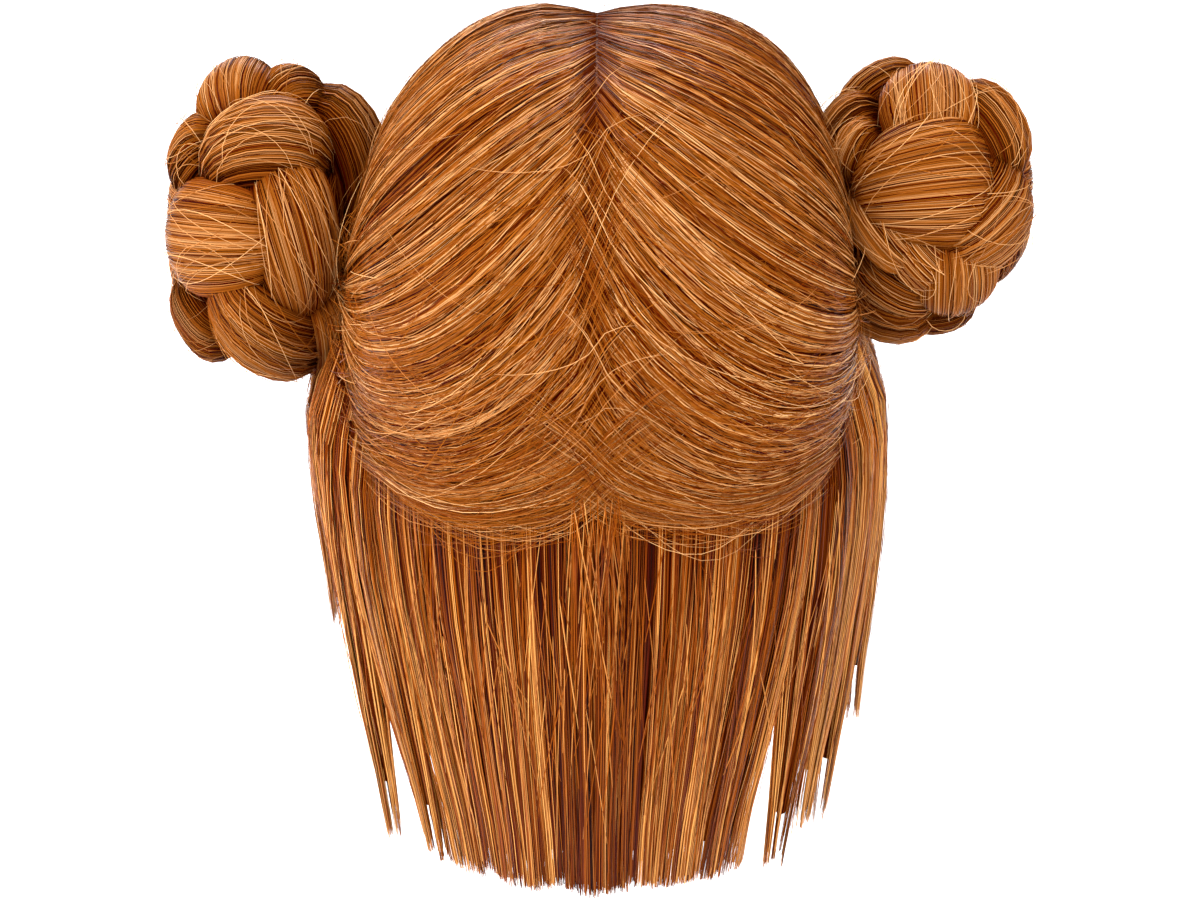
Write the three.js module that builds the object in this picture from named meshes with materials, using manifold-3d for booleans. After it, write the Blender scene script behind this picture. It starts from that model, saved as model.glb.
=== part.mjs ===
// A wig of straight hair worn half up: the upper hair is parted down the middle and swept
// sideways into a plaited bun on each side, and the lower hair hangs straight and blunt cut.
// Millimetres and degrees. Up is +Z, the wearer faces -Y and the wearer's left is +X.
import * as THREE from 'three';
import { mergeVertices } from 'three/addons/utils/BufferGeometryUtils.js';
import Module from 'manifold-3d';

const wasm = await Module();
wasm.setup();

// Foundation cap: half sizes of the hollow, its wall, and the height of its rim round the head
const FIT = { across: 72, along: 94, top: 92, low: 90 };
const ROUNDNESS = 2.3;
const CAP_WALL = 1.5;
const RIM_MIDDLE = -13.5;
const RIM_SWING = 48.5;
const CLEARANCE = 0.35;
const FACET_ALLOWANCE = 0.35;
const CORNER_SLACK = { bun: 0.2, lock: 0.13 };

// Swept hair of the crown
const HAIRLINE_SHARE = 0.5;
const LOWER_EDGE_SHARE = 0.9;
const RIB_HEIGHT = 0.6;
const RIB_COUNT = 8;
const SWEEP_FIRST = 0.15;
const SWEEP_LAST = 79;
const BASE_RISE = 0.15;

// Depth of the swept hair at even steps of the sweep, from the part down into the bun's base
const DEPTHS = [3, 8, 9.2, 7, 4.5];
const DEPTHS_END = 80;
const PART_FILL = 4.5;

// The right half is fuller than the left half by this share either way, over the top
const FULLER_RIGHT = 0.28;

// How a lock of the crown runs, from the hairline (first row) over the top to the lower back.
// start: where it leaves the part; lean: how far it falls beside the part;
// tuck: how far it bends on the way into the bun.
const FLOW = [
  { start: 19, lean: -4, tuck: -45 },
  { start: 55, lean: 10, tuck: -18 },
  { start: 92, lean: 30, tuck: -2 },
  { start: 126, lean: 38, tuck: 4 },
  { start: 157, lean: 34, tuck: 12 },
  { start: 182, lean: 16, tuck: 28 },
];

// Buns, charted as seen from behind and above at this tilt: across is to the right, up is up,
// toward is out of the chart. Each row is one visible turn of the plait lying on the core: where
// its middle lies, the angle of its grain, its size, how far it stands off the core, and how much
// wider (or, below zero, narrower) it grows towards the end that its grain points to.
const CHART_TILT = 30;
const BUNS = [
  {
    name: 'bun_left',
    centre: { across: -104, up: 32.5, toward: -2 },
    core: { across: 27.5, up: 44.5, toward: 35 },
    turns: [
      { across: 3, up: 26, grain: 14, length: 54, width: 34, lift: 12, fan: 0.1 },
      { across: -14, up: -8, grain: 0, length: 56, width: 41, lift: 12, fan: -0.15 },
      { across: -23, up: -33, grain: -10, length: 36, width: 28, lift: 11, fan: 0 },
      { across: 32, up: 27, grain: -52, length: 62, width: 34, lift: 16, fan: 0 },
      { across: 14.5, up: -8, grain: -73, length: 60, width: 36, lift: 11.5, fan: -0.15 },
      { across: 3, up: -40, grain: -57, length: 58, width: 34, lift: 12, fan: 0 },
      { across: -10, up: 44, grain: 98, length: 32, width: 33, lift: 13, fan: 0 },
      { across: 10, up: 44, grain: 65, length: 30, width: 26, lift: 10.5, fan: 0 },
      { across: -24, up: 23, grain: 0, length: 28, width: 29, lift: 10, fan: 0 },
      { across: 20, up: -38, grain: -68, length: 46, width: 24, lift: 12, fan: 0 },
    ],
  },
  {
    name: 'bun_right',
    centre: { across: 101, up: 40, toward: 17 },
    core: { across: 29, up: 35.5, toward: 29 },
    turns: [
      { across: -5, up: 1, grain: 8, length: 56, width: 48, lift: 14, fan: 0.3 },
      { across: -1, up: 28, grain: 90, length: 40, width: 36, lift: 12, fan: 0 },
      { across: -17, up: 37, grain: 35, length: 38, width: 23, lift: 10.5, fan: 0 },
      { across: -27, up: 22, grain: 12, length: 32, width: 21, lift: 11, fan: 0 },
      { across: -25, up: 13, grain: 55, length: 26, width: 16, lift: 9, fan: 0 },
      { across: 21, up: 21, grain: -60, length: 42, width: 24, lift: 12.5, fan: 0 },
      { across: 19, up: -12, grain: 35, length: 48, width: 33, lift: 12, fan: 0.2 },
      { across: 9, up: -29, grain: -78, length: 34, width: 33, lift: 11.5, fan: 0 },
      { across: -17, up: -14, grain: -52, length: 38, width: 20, lift: 10.5, fan: 0 },
      { across: 5, up: -39, grain: 12, length: 30, width: 16, lift: 9.5, fan: 0 },
      { across: -4, up: -24, grain: -55, length: 30, width: 20, lift: 9, fan: 0 },
      { across: -13, up: -33, grain: -35, length: 40, width: 25, lift: 9.5, fan: 0 },
      { across: -19, up: -43, grain: 14, length: 50, width: 28, lift: 14, fan: 0 },
    ],
  },
];

// Turns on the sides of a bun that the chart leaves out, the same on both: how far round from the
// charted side towards the outside, how high as a share of the core, then as above
const HIDDEN_TURNS = [
  { round: 94, height: 0.22, grain: 12, length: 44, width: 36, lift: 6.5, fan: 0 },
  { round: 88, height: -0.4, grain: -35, length: 44, width: 32, lift: 6.5, fan: 0 },
  { round: 138, height: -0.05, grain: -74, length: 56, width: 30, lift: 9, fan: 0 },
  { round: 180, height: 0.36, grain: 8, length: 50, width: 34, lift: 10, fan: 0 },
  { round: 192, height: -0.2, grain: -15, length: 50, width: 32, lift: 9.5, fan: 0 },
  { round: 168, height: -0.68, grain: -55, length: 46, width: 32, lift: 9.5, fan: 0 },
  { round: 232, height: 0.1, grain: 76, length: 52, width: 30, lift: 9, fan: 0 },
  { round: 132, height: 0.78, grain: 50, length: 48, width: 36, lift: 8.5, fan: 0 },
];
const HIDDEN_CORE = 40;

// How much shorter a turn is at its edges than along its middle
const ROUND_END = 0.25;

// Hanging hair: panels of locks side by side round the back, each lock with the turn round the
// head (from the middle of the back towards the left) of its root and of its tip, how far below
// the middle of the head it ends, how far from the axis its tip hangs, and its share of width there.
const LOCK_DEPTH = 8;
const LOCK_ROOT_DEPTH = 4.4;
const LOCK_OVERLAP = 1.3;
const LOCK_ROOT = { back: -8, side: 14 };
const LOCK_HANG = -24;
const SIDE_FLARE = 14.5;
const PANELS = [
  {
    name: 'hanging_hair_middle', from: -13.5, to: 13.5,
    locks: [
      { root: -9, tip: -8.5, drop: 161, reach: 79, tipShare: 0.78 },
      { root: 0, tip: 0, drop: 163, reach: 80, tipShare: 0.78 },
      { root: 9, tip: 8.5, drop: 161, reach: 79, tipShare: 0.78 },
    ],
  },
  {
    name: 'hanging_hair_back_left', from: 13.5, to: 40.5,
    locks: [
      { root: 18, tip: 17, drop: 163, reach: 80, tipShare: 0.78 },
      { root: 27, tip: 25.5, drop: 161, reach: 79, tipShare: 0.78 },
      { root: 36, tip: 33, drop: 165, reach: 78, tipShare: 0.78 },
    ],
  },
  {
    name: 'hanging_hair_back_right', from: -40.5, to: -13.5,
    locks: [
      { root: -18, tip: -16.5, drop: 162, reach: 80, tipShare: 0.78 },
      { root: -27, tip: -25, drop: 163, reach: 79, tipShare: 0.78 },
      { root: -36, tip: -32, drop: 166, reach: 78, tipShare: 0.78 },
    ],
  },
  {
    name: 'hanging_hair_side_left', from: 40.5, to: 86.5,
    locks: [
      { root: 46, tip: 41.5, drop: 165, reach: 80, tipShare: 0.36 },
      { root: 57.5, tip: 56.5, drop: 169, reach: 82, tipShare: 0.28 },
      { root: 69, tip: 64, drop: 112, reach: 80, tipShare: 0.5 },
      { root: 80.5, tip: 78, drop: 106, reach: 83, tipShare: 0.5 },
    ],
  },
  {
    name: 'hanging_hair_side_right', from: -86.5, to: -40.5,
    locks: [
      { root: -46, tip: -45, drop: 171, reach: 83, tipShare: 0.36 },
      { root: -57.5, tip: -57, drop: 164, reach: 82, tipShare: 0.45 },
      { root: -69, tip: -67, drop: 171, reach: 83, tipShare: 0.4 },
      { root: -80.5, tip: -80, drop: 141, reach: 89, tipShare: 0.5 },
    ],
  },
  {
    name: 'hanging_hair_temple_left', from: 86.5, to: 121,
    locks: [
      { root: 92, tip: 91, drop: 112, reach: 89, tipShare: 0.5 },
      { root: 103.5, tip: 104, drop: 116, reach: 89, tipShare: 0.5 },
      { root: 115, tip: 115, drop: 120, reach: 88, tipShare: 0.5 },
    ],
  },
  {
    name: 'hanging_hair_temple_right', from: -121, to: -86.5,
    locks: [
      { root: -92, tip: -92, drop: 128, reach: 90, tipShare: 0.5 },
      { root: -103.5, tip: -104, drop: 132, reach: 90, tipShare: 0.5 },
      { root: -115, tip: -116, drop: 136, reach: 90, tipShare: 0.5 },
    ],
  },
];

// Looks
const HAIR_LOOK = { color: '#a8622a', roughness: 0.45, metalness: 0 };
const CAP_LOOK = { color: '#5a3016', roughness: 0.9, metalness: 0 };

// Mesh density
const CAP_ROUND = 24;
const CAP_ROWS = 5;
const CROWN_ROWS = 32;
const CROWN_STEPS = 10;
const WIDE_TURN = { along: 5, over: 5 };
const PLAIN_TURN = { along: 4, over: 4 };
const WIDE_FROM = 22;
const LOCK_STEPS = 5;
const LOCK_SIDES = 6;

const rad = THREE.MathUtils.degToRad;
const smooth = THREE.MathUtils.smoothstep;
const lerp = THREE.MathUtils.lerp;
const at = (x, y, z) => new THREE.Vector3(x, y, z);
const power = (value, half) => Math.pow(Math.abs(value) / half, ROUNDNESS);
const steps = (count) => Array.from({ length: count + 1 }, (_, i) => i / count);

// Half sizes of the hollow grown outwards by an offset
const grown = (offset) => ({
  across: FIT.across + offset,
  along: FIT.along + offset,
  top: FIT.top + offset,
  low: FIT.low + offset,
});

// Point of the dome that lies in a direction from the middle of the head
function domePoint(direction, half) {
  const upright = direction.z < 0 ? half.low : half.top;
  const sum = power(direction.x, half.across) + power(direction.y, half.along) + power(direction.z, upright);
  return direction.clone().multiplyScalar(Math.pow(sum, -1 / ROUNDNESS));
}

// Distance from the upright axis to the dome at one height and one turn round the head
function domeReach(turn, height, half) {
  const left = Math.max(0, 1 - power(height, height < 0 ? half.low : half.top));
  const round = power(Math.sin(rad(turn)), half.across) + power(Math.cos(rad(turn)), half.along);
  return Math.pow(left / round, 1 / ROUNDNESS);
}

const aroundAxis = (turn, reach, height) => at(reach * Math.sin(rad(turn)), reach * Math.cos(rad(turn)), height);
const rimHeight = (turn) => RIM_MIDDLE - RIM_SWING * Math.cos(rad(turn));

// Closed solid from points and faces: points that coincide become one and empty faces go
function solidFrom(points, faces) {
  const loose = new THREE.BufferGeometry().setFromPoints(points);
  loose.setIndex(faces.flat());
  const joined = mergeVertices(loose, 1e-3);
  const source = Array.from(joined.index.array);
  const kept = [];
  for (let i = 0; i < source.length; i += 3) {
    const [a, b, c] = source.slice(i, i + 3);
    if (a !== b && b !== c && c !== a) kept.push(a, b, c);
  }
  const vertProperties = new Float32Array(joined.attributes.position.array);
  const build = (list) => new wasm.Manifold(new wasm.Mesh({ numProp: 3, vertProperties, triVerts: new Uint32Array(list) }));
  const made = build(kept);
  return made.volume() > 0 ? made : build(kept.reverse());
}

// Faces between two rows of points of equal length, given by the index of each row's first point
function strip(first, second, count, closed) {
  const faces = [];
  const last = closed ? count : count - 1;
  for (let i = 0; i < last; i += 1) {
    const next = (i + 1) % count;
    faces.push([first + i, second + i, second + next], [first + i, second + next, first + next]);
  }
  return faces;
}

// Shell between an outer and an inner grid of points, closed along every open edge
function shell(outer, inner, closedRound) {
  const rows = outer.length;
  const count = outer[0].length;
  const shift = rows * count;
  const faces = [];
  for (let r = 0; r < rows - 1; r += 1) {
    faces.push(...strip(r * count, (r + 1) * count, count, closedRound));
    faces.push(...strip(shift + (r + 1) * count, shift + r * count, count, closedRound));
  }
  faces.push(...strip(shift, 0, count, closedRound));
  faces.push(...strip((rows - 1) * count, shift + (rows - 1) * count, count, closedRound));
  for (let r = 0; r < rows - 1 && !closedRound; r += 1) {
    const [a, b] = [r * count, (r + 1) * count];
    const [c, d] = [a + count - 1, b + count - 1];
    faces.push([a, shift + b, b], [a, shift + a, shift + b]);
    faces.push([c, d, shift + d], [c, shift + d, shift + c]);
  }
  return solidFrom([...outer.flat(), ...inner.flat()], faces);
}

// Tube through rings of points, its two ends closed by fans
function tube(rings) {
  const count = rings[0].length;
  const points = rings.flat();
  const faces = [];
  for (let r = 0; r < rings.length - 1; r += 1) faces.push(...strip(r * count, (r + 1) * count, count, true));
  for (const [ring, start, turned] of [[rings[0], 0, true], [rings.at(-1), points.length - count, false]]) {
    const middle = points.length;
    points.push(ring.reduce((sum, p) => sum.add(p), at(0, 0, 0)).divideScalar(count));
    for (let i = 0; i < count; i += 1) {
      const [a, b] = [start + i, start + ((i + 1) % count)];
      faces.push(turned ? [middle, a, b] : [middle, b, a]);
    }
  }
  return solidFrom(points, faces);
}

const fuse = (solids) => solids.reduce((whole, next) => whole.add(next));

// What is left of a solid after a cut, without the crumbs beside its main body or needless corners
const mainBody = (made) => made.decompose().sort((a, b) => b.volume() - a.volume())[0];
const cutBack = (made, cutter, slack) => mainBody(mainBody(made.subtract(cutter)).simplify(slack));

// Cap: a plain thin dome, open at the face and below, its rim low at the nape
function capSolid(inside, outside) {
  const grid = (offset) => steps(CAP_ROWS).map((v) =>
    Array.from({ length: CAP_ROUND }, (_, i) => {
      const turn = (360 * i) / CAP_ROUND;
      const half = grown(offset);
      const height = lerp(rimHeight(turn), half.top, Math.cos((v * Math.PI) / 2));
      return aroundAxis(turn, domeReach(turn, height, half), height);
    }));
  return shell(grid(outside), grid(inside), true);
}

// Direction of a lock of the crown: part runs 0 to 1 from the hairline to the lower back,
// sweep is the angle away from the part, side is +1 on the left
const flowCurve = new THREE.CatmullRomCurve3(FLOW.map((row) => at(row.start, row.lean, row.tuck)));
function sweptDirection(part, sweep, side) {
  const row = flowCurve.getPoint(part);
  const fall = Math.sin((Math.PI / 2) * Math.min(1, sweep / 55) ** 0.75);
  const turn = rad(row.x + row.y * fall + row.z * smooth(sweep, 35, 80));
  const [s, c] = [Math.sin(rad(sweep)), Math.cos(rad(sweep))];
  return at(side * s, -c * Math.cos(turn), c * Math.sin(turn) + BASE_RISE * s * s);
}

// Depth of the swept hair: a groove at the part that closes towards the lower back, thinner at the
// hairline and the lower edge, ribbed along the sweep and pulled in tight at the bun
const depthCurve = new THREE.CatmullRomCurve3(DEPTHS.map((depth, i) => at(i, depth, 0)));
function sweptDepth(part, sweep, side) {
  const hairline = lerp(HAIRLINE_SHARE, 1, smooth(part, 0, 0.07));
  const lower = lerp(LOWER_EDGE_SHARE, 1, smooth(1 - part, 0, 0.05));
  const rib = RIB_HEIGHT * Math.cos(2 * Math.PI * RIB_COUNT * part) * smooth(sweep, 4, 25);
  const crossing = PART_FILL * smooth(part, 0.55, 0.9) * (1 - smooth(sweep, 0, 14));
  const upper = smooth(sweep, 8, 35) * (1 - smooth(sweep, 58, 78)) * (1 - smooth(part, 0.6, 0.9));
  const full = 1 - FULLER_RIGHT * side * upper;
  return (depthCurve.getPoint(sweep / DEPTHS_END).y * full + crossing) * hairline * lower + rib;
}

// One half of the crown, grown on all sides by an allowance when it serves as a cutter
function crownSolid(side, allowance = 0) {
  const base = CAP_WALL + CLEARANCE + FACET_ALLOWANCE - allowance;
  const last = SWEEP_LAST + THREE.MathUtils.radToDeg(allowance / FIT.across);
  const beyond = (edge, next) => edge.map((p, i) => p.clone().sub(next[i]).setLength(allowance).add(p));
  const grid = (depthAt) => {
    const rows = steps(CROWN_ROWS).map((part) => steps(CROWN_STEPS).map((s) => {
      const sweep = lerp(SWEEP_FIRST, last, s);
      return domePoint(sweptDirection(part, sweep, side), grown(base + depthAt(part, sweep)));
    }));
    return allowance ? [beyond(rows[0], rows[1]), ...rows, beyond(rows.at(-1), rows.at(-2))] : rows;
  };
  const outer = grid((part, sweep) => sweptDepth(part, sweep, side) + 2 * allowance);
  return shell(outer, grid(() => 0), false);
}

// Bun: the turns of the plait lie on a rounded core and are fused with it
const tilt = rad(CHART_TILT);
const chart = new THREE.Matrix4().makeBasis(
  at(-1, 0, 0),
  at(0, -Math.sin(tilt), Math.cos(tilt)),
  at(0, Math.cos(tilt), Math.sin(tilt)),
);
const charted = (p) => at(p.across, p.up, p.toward);

function turnSolid(bun, row, normal, along, allowance, density) {
  const middle = charted(bun.core).addScalar(row.lift / 2);
  along.addScaledVector(normal, -along.dot(normal)).normalize();
  const beside = normal.clone().cross(along);
  const sweep = (row.length / 2 + allowance) / along.clone().multiply(middle).length();
  const spread = (row.width / 2 + allowance) / beside.clone().multiply(middle).length();
  const centre = charted(bun.centre);
  const place = (s, w, height) => {
    const angle = w * spread * (1 - 0.2 * s * s) * (1 + row.fan * s);
    const turned = s * sweep * (1 - ROUND_END * w * w);
    const d = normal.clone().multiplyScalar(Math.cos(turned)).addScaledVector(along, Math.sin(turned));
    d.multiplyScalar(Math.cos(angle)).addScaledVector(beside, Math.sin(angle));
    return d.multiply(charted(bun.core).addScalar(height + allowance)).add(centre).applyMatrix4(chart);
  };
  const rings = steps(density.along).map((t) => {
    const s = 2 * t - 1;
    const crest = row.lift * (1 - 0.85 * Math.abs(s) ** 3);
    const top = steps(density.over - 1).map((u) => place(s, 2 * u - 1, crest * Math.sqrt(1 - (2 * u - 1) ** 2) - 0.8));
    return [...top, place(s, 0.6, -6), place(s, -0.6, -6)];
  });
  return tube(rings);
}

// A turn that the chart shows: its normal on the core's unit ball follows from its charted place
function chartedTurn(bun, row, allowance) {
  const middle = charted(bun.core).addScalar(row.lift / 2);
  const normal = at(row.across / middle.x, row.up / middle.y, 0);
  normal.clampLength(0, 0.985);
  normal.z = Math.sqrt(1 - normal.lengthSq());
  const along = at(Math.cos(rad(row.grain)) / middle.x, Math.sin(rad(row.grain)) / middle.y, 0);
  return turnSolid(bun, row, normal, along, allowance, row.width > WIDE_FROM ? WIDE_TURN : PLAIN_TURN);
}

// A turn on one of the other sides: its normal follows from how far round and how high it lies
function hiddenTurn(bun, row, allowance) {
  const outside = Math.sign(bun.centre.across);
  const scale = bun.core.up / HIDDEN_CORE;
  const [s, c] = [Math.sin(rad(row.round)), Math.cos(rad(row.round))];
  const level = Math.sqrt(1 - row.height ** 2);
  const normal = at(outside * s * level, row.height, c * level);
  const right = at(outside * c, 0, -s);
  const along = right.multiplyScalar(Math.cos(rad(row.grain))).add(at(0, Math.sin(rad(row.grain)), 0));
  const sized = { ...row, length: row.length * scale, width: row.width * scale };
  return turnSolid(bun, sized, normal, along, allowance, PLAIN_TURN);
}

// The whole bun, grown on all sides by an allowance when it serves as a cutter
function bunSolid(bun, allowance = 0) {
  const ball = new THREE.SphereGeometry(1, 12, 8);
  ball.deleteAttribute('normal');
  ball.deleteAttribute('uv');
  ball.scale(bun.core.across + allowance, bun.core.up + allowance, bun.core.toward + allowance);
  ball.translate(bun.centre.across, bun.centre.up, bun.centre.toward);
  ball.applyMatrix4(chart);
  const points = [];
  const source = ball.attributes.position;
  for (let i = 0; i < source.count; i += 1) points.push(new THREE.Vector3().fromBufferAttribute(source, i));
  const faces = [];
  for (let i = 0; i < ball.index.count; i += 3) faces.push(Array.from(ball.index.array.slice(i, i + 3)));
  const seen = bun.turns.map((row) => chartedTurn(bun, row, allowance));
  const hidden = HIDDEN_TURNS.map((row) => hiddenTurn(bun, row, allowance));
  return fuse([solidFrom(points, faces), ...seen, ...hidden]);
}

// Lock of the hanging hair: follows the cap from under the swept hair, then hangs and narrows
function lockSolid(lock, spacing) {
  const sideways = Math.abs(Math.sin(rad(lock.root)));
  const rings = steps(LOCK_STEPS).map((v) => {
    const height = lerp(lerp(LOCK_ROOT.back, LOCK_ROOT.side, sideways ** 4), -lock.drop, v);
    const turn = lerp(lock.root, lock.tip, smooth(v, 0, 1));
    const deep = lerp(LOCK_ROOT_DEPTH, LOCK_DEPTH, smooth(-height, 0, 60)) * lerp(1, 0.6, smooth(v, 0.6, 1)) / 2;
    const half = grown(CAP_WALL + CLEARANCE + deep + 0.4);
    const flare = SIDE_FLARE * sideways ** 2 * smooth(-height, -20, 25);
    const onCap = domeReach(turn, Math.max(height, LOCK_HANG), half) + flare;
    const loose = Math.max(0, (LOCK_HANG - height) / (LOCK_HANG + lock.drop));
    const reach = lerp(onCap, lock.reach, loose);
    const wide = (rad(spacing) * onCap * LOCK_OVERLAP / 2) * lerp(1, lock.tipShare, smooth(v, 0.35, 1));
    const middle = aroundAxis(turn, reach, height);
    const outward = aroundAxis(turn, 1, 0);
    const aside = aroundAxis(turn + 90, 1, 0);
    return Array.from({ length: LOCK_SIDES }, (_, i) => {
      const angle = (2 * Math.PI * (i + 0.5)) / LOCK_SIDES;
      const p = middle.clone().addScaledVector(aside, wide * Math.cos(angle) * 1.1);
      return p.addScaledVector(outward, deep * Math.sin(angle) * 1.12);
    });
  });
  return tube(rings);
}

// Upright wedge between two turns round the head, set out from the axis so neighbours keep clear
function wedgeSolid(from, to) {
  const [middle, opening] = [(from + to) / 2, (to - from) / 2];
  const apex = aroundAxis(middle, CLEARANCE / 2 / Math.sin(rad(opening)), 0);
  const corner = (turn) => aroundAxis(turn, 160 / Math.cos(rad(opening)), 0).add(apex);
  const outline = [apex, corner(from), corner(to)];
  return tube([-200, 100].map((height) => outline.map((p) => p.clone().setZ(height))));
}

function panelSolid(panel) {
  const spacing = (panel.to - panel.from) / panel.locks.length;
  return fuse(panel.locks.map((lock) => lockSolid(lock, spacing))).intersect(wedgeSolid(panel.from, panel.to));
}

// Mesh of a solid, with the name of the piece
function piece(name, made, look = HAIR_LOOK) {
  const mesh = made.getMesh();
  const geometry = new THREE.BufferGeometry();
  geometry.setAttribute('position', new THREE.BufferAttribute(new Float32Array(mesh.vertProperties), 3));
  geometry.setIndex(new THREE.BufferAttribute(new Uint32Array(mesh.triVerts), 1));
  geometry.computeVertexNormals();
  const shown = new THREE.Mesh(geometry, new THREE.MeshStandardMaterial(look));
  shown.name = name;
  return shown;
}

// Assembly: the origin is the inside top of the cap, where the wig sits on the head
const wig = new THREE.Group();
wig.name = 'wig';
wig.position.z = -FIT.top;

const crowns = { left: crownSolid(1), right: crownSolid(-1) };
const cutters = fuse([capSolid(-4, CAP_WALL + CLEARANCE), crownSolid(1, CLEARANCE), crownSolid(-1, CLEARANCE)]);
wig.add(piece('cap', capSolid(0, CAP_WALL), CAP_LOOK));
wig.add(piece('swept_hair_left', crowns.left));
wig.add(piece('swept_hair_right', crowns.right));
for (const bun of BUNS) wig.add(piece(bun.name, cutBack(bunSolid(bun), cutters, CORNER_SLACK.bun)));
const around = fuse([cutters, ...BUNS.map((bun) => bunSolid(bun, CLEARANCE))]);
for (const panel of PANELS) wig.add(piece(panel.name, cutBack(panelSolid(panel), around, CORNER_SLACK.lock)));

const assembly = new THREE.Group();
assembly.name = 'assembly';
assembly.add(wig);

export default assembly;
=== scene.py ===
# %% [markdown]
# # A half-up wig with plaited buns
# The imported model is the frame: every solid of the wig sits where it belongs, and this script
# dresses each one in hair. Hair is mostly repetition, so each piece is worked out as arrays:
# one array of paths, one array of widths, one array of colours, and a mesh made from them at once.

# %% Load the frame
import math

import bpy
import numpy as np
from mathutils import Matrix, Vector

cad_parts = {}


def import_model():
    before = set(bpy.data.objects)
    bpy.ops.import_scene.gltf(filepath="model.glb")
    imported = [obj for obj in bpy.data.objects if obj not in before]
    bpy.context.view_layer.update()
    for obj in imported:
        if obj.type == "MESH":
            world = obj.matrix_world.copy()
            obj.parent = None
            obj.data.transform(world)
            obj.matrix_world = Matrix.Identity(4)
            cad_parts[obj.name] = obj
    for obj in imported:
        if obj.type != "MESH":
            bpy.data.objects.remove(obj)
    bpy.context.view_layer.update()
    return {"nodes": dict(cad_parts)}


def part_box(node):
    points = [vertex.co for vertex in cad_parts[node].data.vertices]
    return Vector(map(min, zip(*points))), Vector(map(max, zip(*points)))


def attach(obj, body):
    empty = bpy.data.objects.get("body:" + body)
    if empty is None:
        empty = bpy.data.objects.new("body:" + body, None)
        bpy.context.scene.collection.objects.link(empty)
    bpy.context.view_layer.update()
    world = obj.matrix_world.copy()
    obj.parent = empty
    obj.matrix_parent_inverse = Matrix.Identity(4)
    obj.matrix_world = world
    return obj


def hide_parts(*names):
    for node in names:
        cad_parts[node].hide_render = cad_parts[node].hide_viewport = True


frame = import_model()
print("frame:", sorted(frame["nodes"]))

# %% [markdown]
# ## Sizes
# Lengths are in millimetres about the middle of the head, which is easier to think in than
# metres. The cap's own box gives the height of that middle, and one function at the end of the
# chain moves and scales every array into Blender's metres.

# %% Sizes
MM = 0.001

# Half sizes of the hollow for the head, and the power of its rounded dome
FIT_ACROSS = 72.0
FIT_ALONG = 94.0
FIT_TOP = 92.0
FIT_LOW = 90.0
ROUNDNESS = 2.3

# The cap's wall, the foot of the hair on it, and its rim: middle height and swing
CAP_WALL = 1.5
HAIR_BASE = CAP_WALL + 0.7
RIM_MIDDLE = -13.5
RIM_SWING = 48.5

# Depth of the swept hair at even steps of the sweep, which runs from the part to its end in degrees
DEPTHS = [[3.0], [8.0], [9.2], [7.0], [4.5]]
SWEEP_END = 80.0

# Locks that cross fill the part at the back: how much, along which stretch of it and how wide in degrees
PART_FILL = 4.5
CROSSING_PART = (0.55, 0.9)
CROSSING_WIDTH = 14

# The right half is fuller by a share: the sweeps where that starts and ends, and where along the part
FULLER_RIGHT = 0.28
FULLER_START = (8, 35)
FULLER_END = (58, 78)
FULLER_PART = (0.6, 0.9)

# The hair is thinner over these shares of the part, at the hairline and at the lower edge
HAIRLINE_SHARE = 0.07
EDGE_SHARE = 0.05

# How a swept lock runs, row by row from the front to the back, in degrees: where it leaves the
# part, how far it falls beside it and how far it tucks under the bun
FLOW = [[19, -4, -45], [55, 10, -18], [92, 30, -2], [126, 38, 4], [157, 29, 17], [182, 9.5, 34.5]]

# The sweep where a lock has fallen all the way, the power of that fall, the sweep where it starts to
# tuck, and how much the middle of the bun's base lies above the middle of the head
FALL_END = 55.0
FALL_POWER = 0.75
TUCK_START = 35.0
BASE_RISE = 0.15

# The view that the buns are charted in looks down by this angle
CHART_TILT = math.radians(30)

# Widths of the strands, which are wider than real fibres, and the angle they are tilted by at most
STRAND_WIDTHS = (0.17, 0.32)
STRAY_WIDTHS = (0.12, 0.2)
BUN_WIDTHS = (0.15, 0.28)
BUN_STRAY_WIDTH = 0.18
TILT_RANGE = math.radians(38)

# Share of the strands that are dark, painted shade for the shadowed gaps between fibres, and the most
# that counts of a strand's own brightness: tone that differs at random, whose bright tail paints glints
SHADED_GAP_SHARE = 0.22
GLINT_LIMIT = 1.5

# Waves and arcs start anywhere in about one full turn, in radians
PHASES = (0, 6.3)

HEAD = np.array([0.0, 0.0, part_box("cap")[1][2] / MM - CAP_WALL - FIT_TOP])
rng = np.random.default_rng(7)
print("middle of the head at", HEAD.round(2), "mm")

# %% [markdown]
# ## Small tools
# A smooth step, a smooth curve through table rows, and the two shape functions that every piece
# shares: the rounded dome of the head, and the direction in which a swept lock runs over it.

# %% Shape functions
def smooth(value, low, high):
    """Smooth step: 0 below low, 1 above high, 3t^2 - 2t^3 between."""
    t = np.clip((value - low) / (high - low), 0, 1)
    return t * t * (3 - 2 * t)


def unit(vector):
    """The vectors, each divided by its length."""
    return vector / np.maximum(np.linalg.norm(vector, axis=-1, keepdims=True), 1e-9)


def through(rows, t):
    """Catmull-Rom curve through evenly spaced rows, at t from 0 to 1."""
    rows = np.asarray(rows, float)
    ends = np.vstack([2 * rows[0] - rows[1], rows, 2 * rows[-1] - rows[-2]])
    place = np.clip(t, 0, 1) * (len(rows) - 1)
    i = np.minimum(place.astype(int), len(rows) - 2)
    f = (place - i)[..., None]
    a, b, c, d = (ends[i + k] for k in range(4))
    return b + 0.5 * f * ((c - a) + f * ((2 * a - 5 * b + 4 * c - d) + f * (3 * (b - c) + d - a)))


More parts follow.
